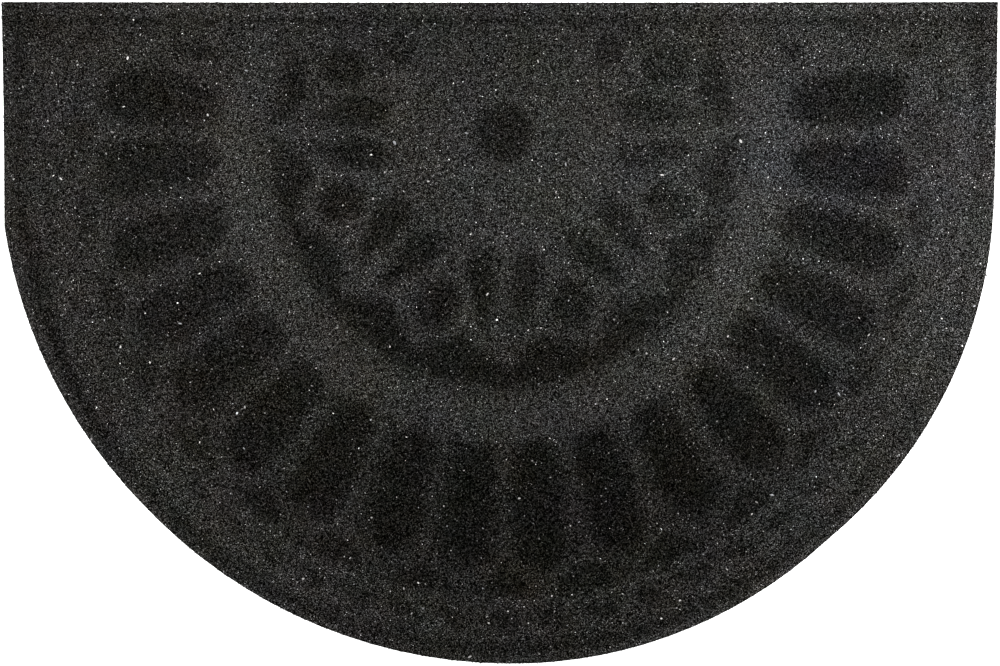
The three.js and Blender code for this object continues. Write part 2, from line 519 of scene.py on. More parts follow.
def nearest_on_outline(x, y):
    """For each point, the nearest point of the outline and how far away it is."""
    best = np.full(x.shape, np.inf)
    near_x = np.array(x)
    near_y = np.array(y)
    for start, end in outline_sides():
        along = end - start
        share = ((x - start[0]) * along[0] + (y - start[1]) * along[1]) / (along @ along)
        share = np.clip(share, 0, 1)
        side_x = start[0] + share * along[0]
        side_y = start[1] + share * along[1]
        distance = np.hypot(x - side_x, y - side_y)
        closer = distance < best
        best = np.where(closer, distance, best)
        near_x = np.where(closer, side_x, near_x)
        near_y = np.where(closer, side_y, near_y)
    return near_x, near_y, best


def is_inside(x, y):
    """Whether each point lies inside the outline."""
    inside = np.zeros(x.shape, bool)
    for start, end in outline_sides():
        if start[1] == end[1]:
            continue
        spans = (start[1] > y) != (end[1] > y)
        crossing = start[0] + (y - start[1]) * (end[0] - start[0]) / (end[1] - start[1])
        inside ^= spans & (x < crossing)
    return inside


def smooth(t):
    """0 below 0, 1 above 1, and a soft S between."""
    t = np.clip(t, 0, 1)
    return t * t * (3 - 2 * t)


def reach_of(ring, angle):
    """How far out a ring lies at an angle from straight down."""
    turn = np.radians(angle)
    return ring.radius * (1 + ring.drop * np.cos(turn) + ring.lobe * np.cos(3 * turn))


def on_ring(ring, angle):
    """The point of a ring at an angle from straight down."""
    turn = math.radians(angle)
    reach = reach_of(ring, angle)
    return ROSE_CENTRE[0] + reach * math.sin(turn), ROSE_CENTRE[1] - reach * math.cos(turn)


def polar(x, y):
    """Distance from the medallion's centre, and angle from straight down in degrees."""
    dx = x - ROSE_CENTRE[0]
    dy = ROSE_CENTRE[1] - y
    return np.hypot(dx, dy), np.degrees(np.arctan2(dx, dy))


def hollow_share(form, angle, lean, x, y):
    """How much of a hollow's full depth is under each point, 0 to 1."""
    centre = on_ring(form.ring, angle)
    outward = math.radians(angle + lean)
    dx = x - centre[0]
    dy = y - centre[1]
    along = dx * math.sin(outward) - dy * math.cos(outward)
    across = dx * math.cos(outward) + dy * math.sin(outward)
    half_length = form.length * (1 + form.stretch * math.cos(math.radians(angle))) / 2
    half_width = form.width / 2 * (1 + form.flare * np.clip(along / half_length, -1, 1))
    a = np.abs(along / half_length) + LEAST_DISTANCE
    b = np.abs(across / half_width) + LEAST_DISTANCE
    n = form.square
    reach = (a ** n + b ** n) ** (1 / n)
    slope = reach ** (1 - n) * np.hypot(a ** (n - 1) / half_length, b ** (n - 1) / half_width)
    slope = np.maximum(slope, LEAST_SLOPE / np.maximum(half_length, half_width))
    return smooth((1 - reach) / slope / form.softness + 0.5)


def run_of(form, places, x, y):
    """The share of a run of like hollows; places gives each one's angle and lean."""
    share = np.zeros(x.shape)
    for angle, lean in places:
        centre = on_ring(form.ring, angle)
        near = np.hypot(x - centre[0], y - centre[1]) < form.length + form.width
        share[near] = np.maximum(share[near], hollow_share(form, angle, lean, x[near], y[near]))
    return share


def petal_angle(steps):
    """Angle of a petal, or of the gap beside it, counted in petals from straight down.

    The petals crowd a little towards the bottom of their ring and sway to and fro along it.
    """
    angle = steps * PETAL_PITCH
    turn = math.radians(angle)
    crowding = PETAL_CROWDING * math.cos(turn) ** 2
    return angle * (1 - crowding) - PETAL_SWAY * math.sin(PETAL_SWAYS * turn) * math.cos(turn)


def flower_angle(steps):
    """Angle in the inner flower, counted in its axes, which crowd towards the bottom."""
    angle = steps * AXIS_PITCH
    return angle * (1 - FLOWER_CROWDING * math.cos(math.radians(angle)) ** 2)


def sliver_places():
    """Pairs of slivers either side of each axis, which close in outwards."""
    axes = [flower_angle(k) for k in AXIS_STEPS]
    return [(axis + side * SLIVER_OFF_AXIS, -side * SLIVER_LEAN) for axis in axes for side in (-1, 1)]


def band_share(rho, theta):
    """The share of the scalloped band: a plain outer border and arches inside."""
    towards_tip = np.abs(np.abs(theta / SCALLOP_PITCH) % 1 - 0.5) * 2
    inner = BAND_ARCHES + (BAND_TIPS - BAND_ARCHES) * towards_tip ** SCALLOP_POINTEDNESS
    inner *= reach_of(BAND_INNER_GROWTH, theta)
    inset = np.minimum(rho - inner, reach_of(BAND_OUTER, theta) - rho)
    share = np.zeros(rho.shape)
    for first, last in BAND_STRETCHES:
        ends = np.radians(np.minimum(theta - first, last - theta)) * rho
        share = np.maximum(share, smooth(np.minimum(inset, ends) / BAND_SOFTNESS + 0.5))
    return share


def plain_ring_share(rho, theta):
    """The share of the plain ring."""
    inside = smooth((rho - reach_of(PLAIN_RING_INNER, theta)) / PLAIN_RING_SOFTNESS)
    return inside * smooth((reach_of(PLAIN_RING_OUTER, theta) - rho) / PLAIN_RING_SOFTNESS)


def cropped_share(x, y):
    """The share of what is left of the pattern where the straight edge crops it."""
    share = np.zeros(x.shape)
    for radius, angle, length, width in CROPPED:
        form = Hollow(Ring(radius), length, width, CROPPED_SOFTNESS, square=CROPPED_SQUARE)
        share = np.maximum(share, run_of(form, [(angle, 0)], x, y))
    return share


def ridge(distance, width):
    """A soft bump of height 1 along a line."""
    return np.exp(-(distance / width) ** 2)


def ring_ridge(ring, width, rho, theta):
    """A soft bump along a ring."""
    return ridge(rho - reach_of(ring, theta), width)


def pattern_shares(x, y, inset):
    """How much of each form of the pattern is at each point, by its name in TONES."""
    rho, theta = polar(x, y)
    below_rim_end = smooth((RIM_TROUGH_END - y) / RIM_TROUGH_FADE)
    above_side_end = smooth((y - SIDE_TROUGH_END) / SIDE_TROUGH_FADE)
    within_groove = smooth((PETAL_GROOVE_END - np.abs(theta)) / PETAL_GROOVE_FADE)
    off_worn = np.abs(theta - WORN_EDGE_ANGLE)
    within_worn = smooth((WORN_EDGE_HALF_ANGLE - off_worn) / WORN_EDGE_FADE)
    petals = [(petal_angle(k + 0.5), 0) for k in PETAL_STEPS]
    gaps = [(petal_angle(k), 0) for k in GAP_STEPS]
    between_axes = [(flower_angle(k + 0.5), 0) for k in OVAL_STEPS]
    beads = [(k * ROPE_BEAD_PITCH, ROPE_BEAD_LEAN) for k in ROPE_BEAD_STEPS]
    return {
        "petals": run_of(PETAL, petals, x, y),
        "slivers": run_of(SLIVER, sliver_places(), x, y),
        "ovals": run_of(OVAL, between_axes, x, y),
        "spandrels": run_of(SPANDREL, gaps, x, y),
        "rope_beads": run_of(ROPE_BEAD, beads, x, y),
        "centre_dot": run_of(CENTRE_DOT, [(0, 0)], x, y),
        "band": band_share(rho, theta),
        "cropped": cropped_share(x, y),
        "rim_trough": ring_ridge(*RIM_TROUGH, rho, theta) * below_rim_end,
        "side_trough": ridge(np.abs(x) - SIDE_TROUGH[0], SIDE_TROUGH[1]) * above_side_end,
        "top_trough": ridge(y - TOP_TROUGH[0], TOP_TROUGH[1]),
        "rope_ridge": ring_ridge(*ROPE_RIDGE, rho, theta),
        "plain_ring": plain_ring_share(rho, theta),
        "petal_groove": ring_ridge(*PETAL_GROOVE, rho, theta) * within_groove,
        "trimmed_edge": smooth((TRIMMED_EDGE_WIDTH - inset) / TRIMMED_EDGE_SOFTNESS),
        "worn_edge": smooth((WORN_EDGE_WIDTH - inset) / WORN_EDGE_SOFTNESS) * within_worn,
        "rim_ridge": ring_ridge(*RIM_RIDGE, rho, theta),
    }


def pattern(x, y, inset):
    """Depth in millimetres and tone of the pressed pattern at each point. The tone holds painted shade in
    the hollows and painted light over the whole face.
    """
    shares = pattern_shares(x, y, inset)
    depth = np.maximum.reduce([shares[name] * full for name, full in DEPTHS.items()])
    half_x = x / (MAT_WIDTH / 2)
    half_y = y / (MAT_DEPTH / 2)
    tone = np.zeros(x.shape)
    for name, (middle, rightwards, upwards) in TONES.items():
        tone += shares[name] * (middle + rightwards * half_x + upwards * half_y)
    # Painted light, falling off from right to left, and uneven wear over the whole face
    for (across, up), amount in PAINTED_LIGHT_AND_WEAR_FIELD.items():
        tone += amount * half_x ** across * half_y ** up
    return depth, tone


def object_from(mesh, name, material):
    """A new object in the scene with that mesh and material, riding on the mat's body."""
    piece = bpy.data.objects.new(name, mesh)
    bpy.context.scene.collection.objects.link(piece)
    mesh.materials.append(material)
    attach(piece, "root")
    return piece


def coordinates(mesh):
    """The mesh's vertices in millimetres, one row each."""
    values = np.empty(len(mesh.vertices) * 3, np.float32)
    mesh.vertices.foreach_get("co", values)
    return values.reshape(-1, 3).astype(float) / MM


def set_attribute(mesh, name, values):
    """Stores one number for each vertex."""
    attribute = mesh.attributes.new(name, "FLOAT", "POINT")
    attribute.data.foreach_set("value", np.asarray(values, np.float32))


def set_colours(mesh, name, colours):
    """Stores one colour for each vertex."""
    rgba = np.ones((len(colours), 4), np.float32)
    rgba[:, :3] = colours
    attribute = mesh.attributes.new(name, "FLOAT_COLOR", "POINT")
    attribute.data.foreach_set("color", rgba.ravel())


def unwrap_from_above(mesh):
    """A flat unwrap seen from above that fills the whole square."""
    corner = np.empty(len(mesh.loops), np.int32)
    mesh.loops.foreach_get("vertex_index", corner)
    flat = coordinates(mesh)[:, :2]
    low = flat.min(axis=0)
    high = flat.max(axis=0)
    uv = (flat - low) / (high - low)
    layer = mesh.uv_layers.new(name="OFBake")
    layer.data.foreach_set("uv", uv[corner].astype(np.float32).ravel())


def cut_to_outline(bm):
    """Cuts a flat sheet of faces close to every side of the outline but the straight edge.

    The left side bends inwards a little, so it gets one straight cut, and snap_to_outline
    does the rest.
    """
    path = ROUND_EDGE + RIGHT_SIDE[1:]
    sides = list(zip(path, path[1:])) + [(LEFT_TOP, ROUND_EDGE[0])]
    for start, end in sides:
        outward = Vector((end[1] - start[1], start[0] - end[0], 0))
        bmesh.ops.bisect_plane(
            bm,
            geom=bm.verts[:] + bm.edges[:] + bm.faces[:],
            dist=CUT_TOLERANCE,
            plane_co=Vector((start[0], start[1], 0)) * MM,
            plane_no=outward,
            clear_outer=True,
        )


def border_vertices(bm):
    """Vertices on the open border of a sheet."""
    return [v for v in bm.verts if v.is_boundary]


def snap_to_outline(vertices):
    """Moves border vertices onto the outline exactly."""
    x = np.array([v.co.x for v in vertices]) / MM
    y = np.array([v.co.y for v in vertices]) / MM
    near_x, near_y, _ = nearest_on_outline(x, y)
    for vertex, place_x, place_y in zip(vertices, near_x, near_y):
        vertex.co.x = place_x * MM
        vertex.co.y = place_y * MM


def build_bed(sizes):
    """The slab as one closed mesh: the pressed face, a trimmed wall and a flat underside."""
    bm = bmesh.new()
    columns = round(MAT_WIDTH * MM / sizes.bed_cell)
    rows = round(MAT_DEPTH * MM / sizes.bed_cell)
    bmesh.ops.create_grid(bm, x_segments=columns, y_segments=rows, size=0.5)
    bmesh.ops.scale(bm, vec=(MAT_WIDTH * MM, MAT_DEPTH * MM, 1), verts=bm.verts)
    cut_to_outline(bm)
    bmesh.ops.remove_doubles(bm, verts=bm.verts, dist=MERGE_DISTANCE * MM)
    snap_to_outline(border_vertices(bm))
    bmesh.ops.translate(bm, vec=(0, 0, THICKNESS * MM), verts=bm.verts)

    bmesh.ops.inset_region(bm, faces=bm.faces[:], use_boundary=True, thickness=EDGE_BEVEL * MM)
    for vertex in border_vertices(bm):
        vertex.co.z = (THICKNESS - EDGE_BEVEL) * MM
    for height in WALL_ROWS:
        border = [edge for edge in bm.edges if edge.is_boundary]
        grown = bmesh.ops.extrude_edge_only(bm, edges=border)["geom"]
        for vertex in [g for g in grown if isinstance(g, bmesh.types.BMVert)]:
            vertex.co.z = height * MM
    border = [edge for edge in bm.edges if edge.is_boundary]
    bmesh.ops.triangle_fill(bm, edges=border, use_beauty=True)
    bmesh.ops.triangulate(bm, faces=bm.faces[:])
    bmesh.ops.recalc_face_normals(bm, faces=bm.faces[:])

    mesh = bpy.data.meshes.new("mat_bed")
    bm.to_mesh(mesh)
    bm.free()
    return mesh


def press_pattern(mesh, rng):
    """Presses the hollows into the bed's upper face, roughens its wall and stores its tone."""
    co = coordinates(mesh)
    x = co[:, 0]
    y = co[:, 1]
    inset = nearest_on_outline(x, y)[2]
    depth, tone = pattern(x, y, inset)
    upper = co[:, 2] > THICKNESS - LEVEL_MARGIN
    lumps = rng.normal(0, BED_UNEVENNESS, len(x))
    co[:, 2] -= np.where(upper, BED_BELOW_CRUMB + depth + lumps, 0)
    wall = (co[:, 2] > LEVEL_MARGIN) & (co[:, 2] < THICKNESS - EDGE_BEVEL - LEVEL_MARGIN)
    co[:, 0] += np.where(wall, rng.normal(0, WALL_UNEVENNESS, len(x)), 0)
    co[:, 1] += np.where(wall, rng.normal(0, WALL_UNEVENNESS, len(x)), 0)
    mesh.vertices.foreach_set("co", (co * MM).astype(np.float32).ravel())
    # The bed is darkened as painted shade in the pits between the chips
    set_attribute(mesh, "tone", np.exp(tone + BED_PIT_SHADE))
    unwrap_from_above(mesh)


def chip_shapes(count, rng):
    """A few closed chips, all with the same faces: a flat top at height 0 and a point below.

    Gives their corners, one set for each chip, and the faces that they share.
    """
    bm = bmesh.new()
    bmesh.ops.create_cone(bm, cap_ends=True, cap_tris=False, segments=3, radius1=1, radius2=0, depth=1)
    bmesh.ops.remove_doubles(bm, verts=bm.verts, dist=1e-4)
    bmesh.ops.scale(bm, vec=(1, 1, -1), verts=bm.verts)
    bmesh.ops.translate(bm, vec=(0, 0, -0.5), verts=bm.verts)
    bmesh.ops.reverse_faces(bm, faces=bm.faces[:])
    bmesh.ops.triangulate(bm, faces=bm.faces[:])
    bm.verts.index_update()
    corners = np.array([v.co[:] for v in bm.verts])
    faces = np.array([[v.index for v in face.verts] for face in bm.faces])
    bm.free()
    shapes = np.repeat(corners[None], count, axis=0)
    shapes[:, :, :2] *= rng.uniform(*CHIP_WIDENING, (count, len(corners), 1))
    shapes[:, :, :2] += rng.normal(*CHIP_SKEW, (count, len(corners), 2))
    return shapes, faces


def fleck_shapes(count, rng):
    """A few closed lumps, all with the same faces, longer than they are wide."""
    bm = bmesh.new()
    bmesh.ops.create_icosphere(bm, subdivisions=1, radius=1)
    bm.verts.index_update()
    corners = np.array([v.co[:] for v in bm.verts])
    faces = np.array([[v.index for v in face.verts] for face in bm.faces])
    bm.free()
    shapes = np.repeat(corners[None], count, axis=0)
    shapes *= rng.uniform(*FLECK_KNOBS, (count, len(corners), 1))
    shapes[:, :, 0] *= rng.uniform(*FLECK_LENGTHENING, (count, 1))
    shapes[:, :, 2] *= FLECK_FLATTENING
    return shapes, faces


def across_of(normals):
    """Two unit directions square to each normal and to each other."""
    helper = np.where(np.abs(normals[:, 2:3]) < 0.9, [[0, 0, 1]], [[1, 0, 0]])
    first = np.cross(normals, helper)
    first /= np.linalg.norm(first, axis=1, keepdims=True)
    return first, np.cross(normals, first)


def unit(vectors):
    """The same directions at length 1."""
    return vectors / np.linalg.norm(vectors, axis=1, keepdims=True)


def place_chips(shapes, centres, normals, radii, rng):
    """Corners of one chip at each centre, its flat top square to the normal."""
    first, second = across_of(normals)
    spin = rng.uniform(0, 2 * math.pi, len(centres))[:, None]
    turned = np.cos(spin) * first + np.sin(spin) * second
    square_to = np.cross(normals, turned)
    shape = shapes[rng.integers(0, len(shapes), len(centres))] * radii[:, None, None]
    corners = (
        centres[:, None, :]
        + shape[:, :, 0:1] * turned[:, None, :]
        + shape[:, :, 1:2] * square_to[:, None, :]
        + shape[:, :, 2:3] * normals[:, None, :]
    )
    return stand_within(corners)


def stand_within(corners):
    """Moves each chip up or down until it stands between the floor and the crumb's top."""
    low = corners[:, :, 2].min(axis=1)
    high = corners[:, :, 2].max(axis=1)
    corners[:, :, 2] += np.maximum(LOWEST_CHIP - low, 0)[:, None]
    corners[:, :, 2] -= np.maximum(high - CRUMB_TOP, 0)[:, None]
    return corners


def joined_mesh(name, corners, faces):
    """One mesh of many like chips. corners holds one set of points for each chip."""
    count, per_chip, _ = corners.shape
    all_faces = (faces[None] + per_chip * np.arange(count)[:, None, None]).reshape(-1, 3)
    mesh = bpy.data.meshes.new(name)
    mesh.from_pydata((corners.reshape(-1, 3) * MM).tolist(), [], all_faces.tolist())
    return mesh


def scattered(pitch, rng):
    """Places on the patterned face, on a loose honeycomb of that pitch."""
    row_pitch = pitch * math.sqrt(3) / 2
    columns = np.arange(-MAT_WIDTH / 2, MAT_WIDTH / 2, pitch)
    rows = np.arange(-MAT_DEPTH / 2, MAT_DEPTH / 2, row_pitch)
    x, y = np.meshgrid(columns, rows)
    x = x + (np.arange(len(rows)) % 2)[:, None] * pitch / 2
    x = (x + rng.normal(0, SCATTER * pitch, x.shape)).ravel()
    y = (y + rng.normal(0, SCATTER * pitch, y.shape)).ravel()
    keep = is_inside(x, y)
    x = x[keep]
    y = y[keep]
    inset = nearest_on_outline(x, y)[2]
    clear = inset > EDGE_CLEARANCE
    return x[clear], y[clear], inset[clear]


def chip_tones(tone, spread, rng):
    """Brightness of each chip: the pattern's tone times a random share."""
    return np.exp(tone + rng.normal(0, spread, len(tone)) - spread ** 2 / 2)


def face_crumb(sizes, spread, rng):
    """Centres, normals, radii and tones of the chips on the patterned face."""
    x, y, inset = scattered(sizes.pitch / MM, rng)
    depth, tone = pattern(x, y, inset)
    count = len(x)
    rounding = EDGE_BEVEL * smooth((EDGE_ROUNDING - inset) / EDGE_ROUNDING)
    z = THICKNESS - depth - rounding + rng.normal(*FACE_CHIP_HEIGHT, count)
    normals = np.column_stack([rng.normal(*FACE_CHIP_TILT, (count, 2)), np.ones(count)])
    tumbled = rng.random(count) < TUMBLED_SHARE
    normals[tumbled] = rng.normal(0, 1, (tumbled.sum(), 3))
    normals = unit(normals)
    radii = sizes.chip / MM * np.exp(rng.normal(*FACE_CHIP_SIZE, count))
    centres = np.column_stack([x, y, z])
    centres[tumbled] += normals[tumbled] * TUMBLED_SHIFT
    centres[tumbled, 2] -= TUMBLED_SINK
    return centres, normals, radii, chip_tones(tone, spread, rng)


def wall_crumb(sizes, spread, rng):
    """Centres, normals, radii and tones of the chips on the trimmed wall."""
    pitch = WALL_PITCH_SHARE * sizes.pitch / MM
    sides = np.roll(OUTLINE, -1, axis=0) - OUTLINE
    lengths = np.linalg.norm(sides, axis=1)
    reach = np.concatenate([[0], np.cumsum(lengths)])
    places = np.arange(0, reach[-1], pitch)
    centres = []
    normals = []
    for height in WALL_CHIP_ROWS:
        along = (places + rng.uniform(*WALL_SCATTER, len(places)) * pitch) % reach[-1]
        side = np.clip(np.searchsorted(reach, along) - 1, 0, len(sides) - 1)
        direction = sides[side] / lengths[side][:, None]
        spot = OUTLINE[side] + direction * (along - reach[side])[:, None]
        outward = np.column_stack([direction[:, 1], -direction[:, 0]])
        spot = spot + outward * rng.normal(*WALL_CHIP_DEPTH, len(spot))[:, None]
        z = height + rng.normal(*WALL_CHIP_HEIGHT, len(spot))
        centres.append(np.column_stack([spot, z]))
        normals.append(np.column_stack([outward, rng.normal(*WALL_CHIP_TIP, len(spot))]))
    centres = np.concatenate(centres)
    normals = unit(np.concatenate(normals) + rng.normal(*WALL_CHIP_TILT, centres.shape))
    radii = WALL_CHIP_SHARE * sizes.chip / MM * np.exp(rng.normal(*WALL_CHIP_SIZE, len(centres)))
    # The wall's chips are darkened as painted shade on the mat's side
    tone = pattern(centres[:, 0], centres[:, 1], np.zeros(len(centres)))[1] + WALL_SIDE_SHADE
    return centres, normals, radii, chip_tones(tone, spread, rng)


def new_material(name):
    """An empty node material, with its tree and shader."""
    material = bpy.data.materials.new(name)
    material.use_nodes = True
    tree = material.node_tree
    return material, tree, tree.nodes["Principled BSDF"]


def add_node(tree, kind, **settings):
    """A node of that kind with its settings."""
    node = tree.nodes.new(kind)
    for name, value in settings.items():
        setattr(node, name, value)
    return node


def math_node(tree, operation, first, second, third=None):
    """A Math node; each input is a socket or a number."""
    node = add_node(tree, "ShaderNodeMath", operation=operation)
    for index, value in enumerate((first, second, third)):
        if value is None:
            continue
        if isinstance(value, bpy.types.NodeSocket):
            tree.links.new(value, node.inputs[index])
        else:
            node.inputs[index].default_value = value
    return node.outputs[0]


def spot_node(tree, place, centre, reach):
    """A soft round spot on the mat, 1 at its centre and 0 from its reach outwards, in metres."""
    mapping = add_node(tree, "ShaderNodeMapping")
    tree.links.new(place, mapping.inputs["Vector"])
    scale = (1 / reach[0], 1 / reach[1], 1)
    mapping.inputs["Scale"].default_value = scale
    mapping.inputs["Location"].default_value = (-centre[0] * scale[0], -centre[1] * scale[1], 0)
    spot = add_node(tree, "ShaderNodeTexGradient", gradient_type="SPHERICAL")
    tree.links.new(mapping.outputs["Vector"], spot.inputs["Vector"])
    return spot.outputs["Fac"]


def tinted_by(tree, share, change, base):
    """The base tint plus that share of a change in it."""
    node = add_node(tree, "ShaderNodeVectorMath", operation="MULTIPLY_ADD")
    tree.links.new(share, node.inputs[0])
    node.inputs[1].default_value = change
    tree.links.new(base, node.inputs[2])
    return node.outputs["Vector"]


def crumb_rubber(colour):
    """Dull black rubber in grains of about half a millimetre, a little uneven in tint, with painted sheen
    on its grains and painted glints.
    """
    material, tree, shader = new_material("pressed_crumb")
    links = tree.links
    place = add_node(tree, "ShaderNodeTexCoord").outputs["Object"]

    grains = add_node(tree, "ShaderNodeTexVoronoi")
    grains.inputs["Scale"].default_value = GRAIN_SCALE
    links.new(place, grains.inputs["Vector"])
    parts = add_node(tree, "ShaderNodeSeparateColor")
    links.new(grains.outputs["Color"], parts.inputs["Color"])

    tone = add_node(tree, "ShaderNodeAttribute", attribute_name="tone").outputs["Fac"]
    # Each grain's brightness is partly its own tone and partly painted sheen
    contrast = math_node(tree, "POWER", parts.outputs["Red"], GRAIN_POWER)
    grain_tone_and_sheen = math_node(tree, "MULTIPLY_ADD", contrast, GRAIN_GAIN, GRAIN_BASE)

    # Rare bright specks are painted glints
    painted_glints = add_node(tree, "ShaderNodeTexVoronoi")
    painted_glints.inputs["Scale"].default_value = PAINTED_GLINT_SCALE
    links.new(place, painted_glints.inputs["Vector"])
    glint_parts = add_node(tree, "ShaderNodeSeparateColor")
    links.new(painted_glints.outputs["Color"], glint_parts.inputs["Color"])
    rare_glints = math_node(tree, "POWER", glint_parts.outputs["Red"], PAINTED_GLINT_POWER)
    glint_tone = math_node(tree, "MULTIPLY_ADD", rare_glints, PAINTED_GLINT_GAIN, PAINTED_GLINT_BASE)
    brightness = math_node(tree, "MULTIPLY", grain_tone_and_sheen, glint_tone)
    brightness = math_node(tree, "MULTIPLY_ADD", brightness, tone, -GRAIN_DARKENING)
    brightness = math_node(tree, "MAXIMUM", brightness, DARKEST_GRAIN)

    drift = add_node(tree, "ShaderNodeTexNoise")
    drift.inputs["Scale"].default_value = DRIFT_SCALE
    drift.inputs["Detail"].default_value = DRIFT_DETAIL
    drift.inputs["Roughness"].default_value = DRIFT_ROUGHNESS
    links.new(place, drift.inputs["Vector"])
    tint = add_node(tree, "ShaderNodeVectorMath", operation="MULTIPLY_ADD")
    links.new(drift.outputs["Color"], tint.inputs[0])
    # Bright grains are a little cooler than dark ones
    red, grey, blue = colour
    cool = BRIGHT_GRAIN_BLUE * grey
    tint.inputs[1].default_value = (RED_DRIFT * red, 0, BLUE_DRIFT * blue)
    tint.inputs[2].default_value = (RED_BASE * red - grey, 0, BLUE_BASE * blue - cool)
    # The rubber is less red about the middle than at the rim, and bluer near the upper right petals
    less_red = spot_node(tree, place, *LESS_RED_SPOT)
    tinted = tinted_by(tree, less_red, (LESS_RED_CHANGE * red, 0, 0), tint.outputs["Vector"])
    bluer = spot_node(tree, place, *BLUE_SPOT)
    tinted = tinted_by(tree, bluer, (0, 0, BLUE_CHANGE * blue), tinted)
    lit = add_node(tree, "ShaderNodeVectorMath", operation="SCALE")
    lit.inputs[0].default_value = (grey, grey, cool)
    links.new(brightness, lit.inputs["Scale"])
    rubber = add_node(tree, "ShaderNodeVectorMath", operation="MULTIPLY_ADD")
    links.new(tinted, rubber.inputs[0])
    links.new(math_node(tree, "POWER", brightness, TINT_POWER), rubber.inputs[1])
    links.new(lit.outputs["Vector"], rubber.inputs[2])
    links.new(rubber.outputs["Vector"], shader.inputs["Base Color"])

    rough = add_node(tree, "ShaderNodeMapRange")
    rough.inputs["To Min"].default_value = GRAIN_ROUGHNESS[0]
    rough.inputs["To Max"].default_value = GRAIN_ROUGHNESS[1]
    links.new(parts.outputs["Green"], rough.inputs["Value"])
    links.new(rough.outputs["Result"], shader.inputs["Roughness"])

    bump = add_node(tree, "ShaderNodeBump")
    bump.inputs["Strength"].default_value = GRAIN_BUMP
    bump.inputs["Distance"].default_value = GRAIN_BUMP_HEIGHT * MM
    links.new(grains.outputs["Distance"], bump.inputs["Height"])
    links.new(bump.outputs["Normal"], shader.inputs["Normal"])
    # No specular: the sheen and glints are painted into the base colour
    shader.inputs["Specular IOR Level"].default_value = 0.0
    return material


def fleck_rubber():
    """Light rubber of each fleck's own colour, slightly mottled."""
    material, tree, shader = new_material("fleck_rubber")
    links = tree.links
    place = add_node(tree, "ShaderNodeTexCoord").outputs["Object"]
    mottle = add_node(tree, "ShaderNodeTexNoise")
    mottle.inputs["Scale"].default_value = MOTTLE_SCALE
    links.new(place, mottle.inputs["Vector"])
    shade = math_node(tree, "MULTIPLY_ADD", mottle.outputs["Fac"], MOTTLE_GAIN, MOTTLE_BASE)
    colour = add_node(tree, "ShaderNodeAttribute", attribute_name="fleck_colour").outputs["Color"]
    own = add_node(tree, "ShaderNodeVectorMath", operation="SCALE")
    links.new(colour, own.inputs[0])
    links.new(shade, own.inputs["Scale"])
    links.new(own.outputs["Vector"], shader.inputs["Base Color"])
    bump = add_node(tree, "ShaderNodeBump")
    bump.inputs["Strength"].default_value = FLECK_BUMP
    bump.inputs["Distance"].default_value = FLECK_BUMP_HEIGHT * MM
    links.new(mottle.outputs["Fac"], bump.inputs["Height"])
    links.new(bump.outputs["Normal"], shader.inputs["Normal"])
    shader.inputs["Roughness"].default_value = FLECK_ROUGHNESS
    shader.inputs["Specular IOR Level"].default_value = FLECK_SPECULAR
    return material


def shared_rubber():
    """The crumb's material, made once for the bed and all its crumb."""
    finish = bpy.context.scene.doormat_finish
    return bpy.data.materials.get("pressed_crumb") or crumb_rubber(finish.rubber)


class DOORMAT_OT_bed(Operator):
    """Build the slab that the crumb lies on"""

    bl_idname = "doormat.bed"
    bl_label = "Slab"

    def execute(self, context):
        sizes = context.scene.doormat_sizes
        mesh = build_bed(sizes)
        press_pattern(mesh, np.random.default_rng(sizes.seed))
        bed = object_from(mesh, "mat_bed", shared_rubber())
        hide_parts("mat")
        return {"FINISHED"}


class DOORMAT_OT_crumb(Operator):
    """Build the crumb on the face and the wall, in strips from the round edge up"""

    bl_idname = "doormat.crumb"
    bl_label = "Crumb"

    def execute(self, context):
        sizes = context.scene.doormat_sizes
        spread = context.scene.doormat_finish.spread
        rng = np.random.default_rng(sizes.seed + 1)
        shapes, faces = chip_shapes(CHIP_SHAPES, rng)
        face = face_crumb(sizes, spread, rng)
        wall = wall_crumb(sizes, spread, rng)
        centres, normals, radii, tones = (np.concatenate(pair) for pair in zip(face, wall))
        corners = place_chips(shapes, centres, normals, radii, rng)
        order = np.argsort(centres[:, 1])
        for number, chips in enumerate(np.array_split(order, sizes.strips), start=1):
            name = f"crumb_strip_{number}"
            mesh = joined_mesh(name, corners[chips], faces)
            set_attribute(mesh, "tone", np.repeat(tones[chips], corners.shape[1]))
            unwrap_from_above(mesh)
            object_from(mesh, name, shared_rubber())
        return {"FINISHED"}


